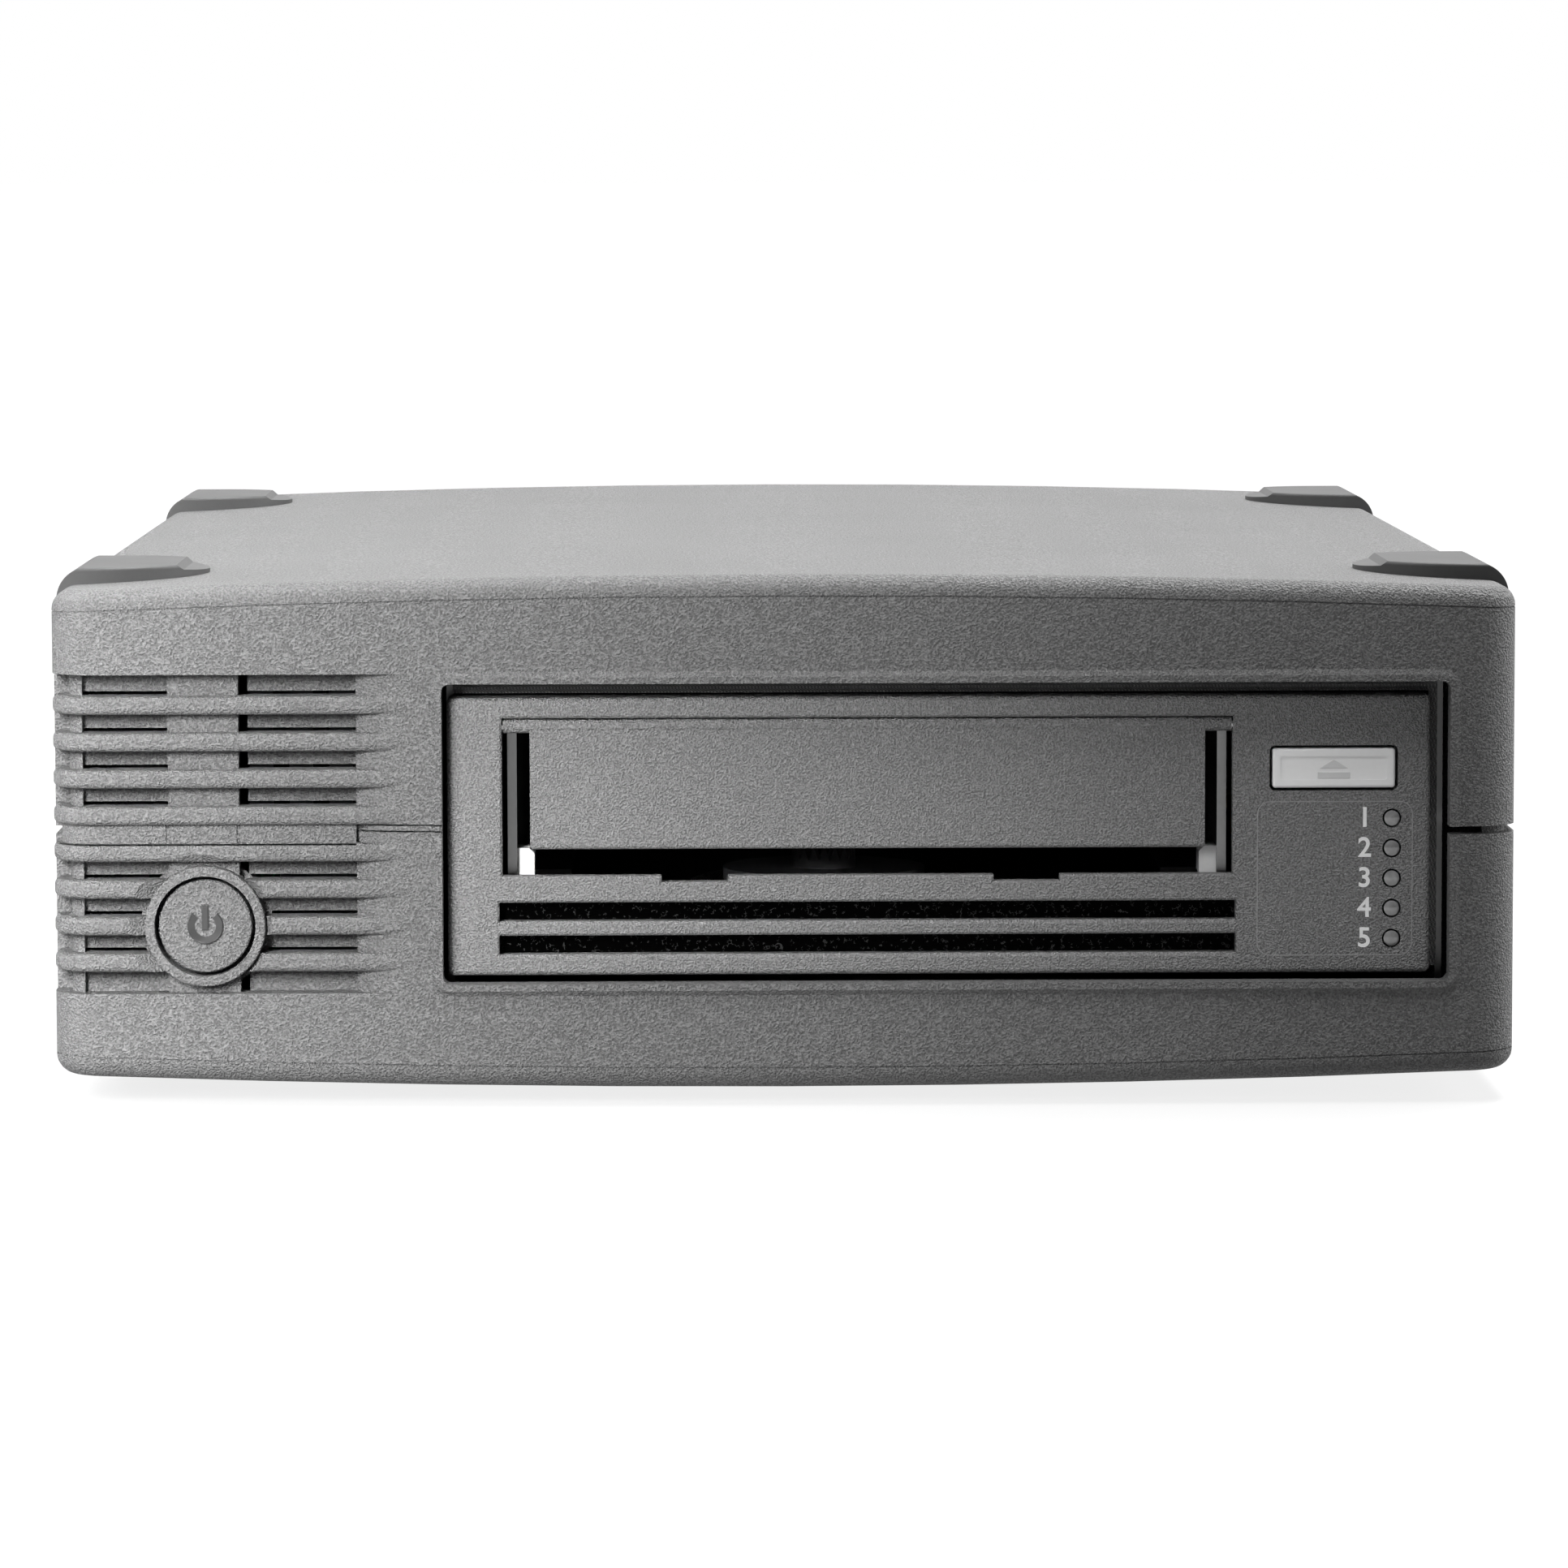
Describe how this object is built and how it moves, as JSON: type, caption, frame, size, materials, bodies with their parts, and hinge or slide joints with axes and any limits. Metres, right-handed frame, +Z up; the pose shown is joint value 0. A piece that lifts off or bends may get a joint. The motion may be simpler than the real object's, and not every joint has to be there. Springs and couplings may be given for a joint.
{
  "type": "data tape drive",
  "caption": "Table-top data tape drive: half-height cartridge drive with flap door, eject key and status lamps in a two-part vented housing with power button, fan, inlet and data ports.",
  "frame": {"origin": "middle of the plan, on the surface that the feet rest on", "axes": "+X to the right seen from the front, +Y towards the rear panel, +Z up"},
  "size_m": [0.2204, 0.2806, 0.0804],
  "materials": {
    "housing_plastic": "fine texture",
    "pad_plastic": "smooth satin",
    "rubber": "matte",
    "dark_plastic": "matte",
    "bezel_plastic": "fine texture",
    "light_plastic": "satin",
    "white_nylon": "satin",
    "lamp_plastic": "clear domes",
    "board": "solder mask",
    "sheet_steel": "zinc plated",
    "cast_alloy": "as cast",
    "steel": "ground",
    "screw_steel": "bright",
    "gasket": "woven conductive fabric",
    "brass": "plain",
    "foam": "open-cell foam",
    "panel_paint": "powder coat"
  },
  "bodies": {
    "chassis": {"cage_screws": "screw_steel", "data_ports": "sheet_steel", "door_hinge_pin": "steel", "drive_base": "cast_alloy", "drive_bezel": "bezel_plastic", "drive_cage": "sheet_steel", "drive_circuit_board": "board", "drive_connector": "dark_plastic", "drive_screws": "screw_steel", "drive_top_cover": "sheet_steel", "emi_gasket": "gasket", "fan_frame": "dark_plastic", "foot_front_left": "rubber", "foot_front_right": "rubber", "foot_rear_left": "rubber", "foot_rear_right": "rubber", "front_board": "board", "head_frame": "cast_alloy", "inlet_blades": "brass", "loader_gearbox": "dark_plastic", "loader_motor": "steel", "lower_shell": "housing_plastic", "port_board": "board", "port_board_screws": "screw_steel", "power_board": "board", "power_inlet": "dark_plastic", "psu_board": "board", "psu_case": "sheet_steel", "psu_components": "dark_plastic", "psu_screws": "screw_steel", "rear_panel": "panel_paint", "rear_screws": "screw_steel", "reel_motor_stator": "steel", "roller_posts": "steel", "shell_screws": "screw_steel", "status_lamps": "lamp_plastic", "takeup_motor": "steel", "top_pad_front_left": "pad_plastic", "top_pad_front_right": "pad_plastic", "top_pad_rear_left": "pad_plastic", "top_pad_rear_right": "pad_plastic", "upper_shell": "housing_plastic", "vent_baffle": "housing_plastic", "vent_filter": "foam"},
    "door": {"cartridge_door": "bezel_plastic"},
    "eject_key": {"eject_button": "light_plastic"},
    "power_key": {"power_button": "housing_plastic", "power_switch_plunger": "dark_plastic"},
    "fan_wheel": {"fan_rotor": "dark_plastic"},
    "supply_drive": {"reel_motor_hub": "steel"},
    "takeup_drive": {"takeup_reel": "dark_plastic"},
    "head_unit": {"head_carriage": "cast_alloy", "tape_head": "dark_plastic"},
    "carriage": {"cartridge_carriage": "sheet_steel", "carriage_shoes": "white_nylon"},
    "pinion": {"loader_pinion": "brass"},
    "roller_1": {"guide_roller_1": "dark_plastic"},
    "roller_2": {"guide_roller_2": "dark_plastic"},
    "roller_3": {"guide_roller_3": "dark_plastic"},
    "roller_4": {"guide_roller_4": "dark_plastic"}
  },
  "joints": [
    {"name": "door_swing", "type": "hinge", "parent": "chassis", "child": "door", "pos_m": [0.01245, -0.13405, 0.05715], "axis": [1, 0, 0], "range_deg": [0, 85], "stiffness_Nm_per_rad": 0.002, "springref_deg": -17.19},
    {"name": "eject_press", "type": "slide", "parent": "chassis", "child": "eject_key", "axis": [0, 1, 0], "range_m": [0, 0.0008], "stiffness_N_per_m": 800, "springref_m": -0.0008},
    {"name": "power_press", "type": "slide", "parent": "chassis", "child": "power_key", "axis": [0, 1, 0], "range_m": [0, 0.0015], "stiffness_N_per_m": 700, "springref_m": -0.001},
    {"name": "fan_spin", "type": "hinge", "parent": "chassis", "child": "fan_wheel", "pos_m": [0.02, 0.12, 0.0414], "axis": [0, 1, 0], "continuous": true},
    {"name": "supply_hub_spin", "type": "hinge", "parent": "chassis", "child": "supply_drive", "pos_m": [0.0068, -0.07965, 0.03], "axis": [0, 0, 1], "continuous": true},
    {"name": "takeup_reel_spin", "type": "hinge", "parent": "chassis", "child": "takeup_drive", "pos_m": [0.045, 0.028, 0.036], "axis": [0, 0, 1], "continuous": true},
    {"name": "head_lift", "type": "slide", "parent": "chassis", "child": "head_unit", "axis": [0, 0, 1], "range_m": [-0.003, 0.003]},
    {"name": "carriage_slide", "type": "slide", "parent": "chassis", "child": "carriage", "axis": [0, 1, 0], "range_m": [0, 0.02]},
    {"name": "loader_pinion_turn", "type": "hinge", "parent": "chassis", "child": "pinion", "pos_m": [0.07518, -0.07965, 0.0385], "axis": [0, 0, -1], "range_deg": [0, 191.5]},
    {"name": "roller_1_spin", "type": "hinge", "parent": "chassis", "child": "roller_1", "pos_m": [-0.036, -0.009, 0.036], "axis": [0, 0, 1], "continuous": true},
    {"name": "roller_2_spin", "type": "hinge", "parent": "chassis", "child": "roller_2", "pos_m": [-0.034, 0.008, 0.036], "axis": [0, 0, 1], "continuous": true},
    {"name": "roller_3_spin", "type": "hinge", "parent": "chassis", "child": "roller_3", "pos_m": [-0.024, 0.05, 0.036], "axis": [0, 0, 1], "continuous": true},
    {"name": "roller_4_spin", "type": "hinge", "parent": "chassis", "child": "roller_4", "pos_m": [-0.006, 0.056, 0.036], "axis": [0, 0, 1], "continuous": true}
  ],
  "couplings": [
    {"joint": "loader_pinion_turn", "follows": "carriage_slide", "rad_per_m": 166.67}
  ]
}
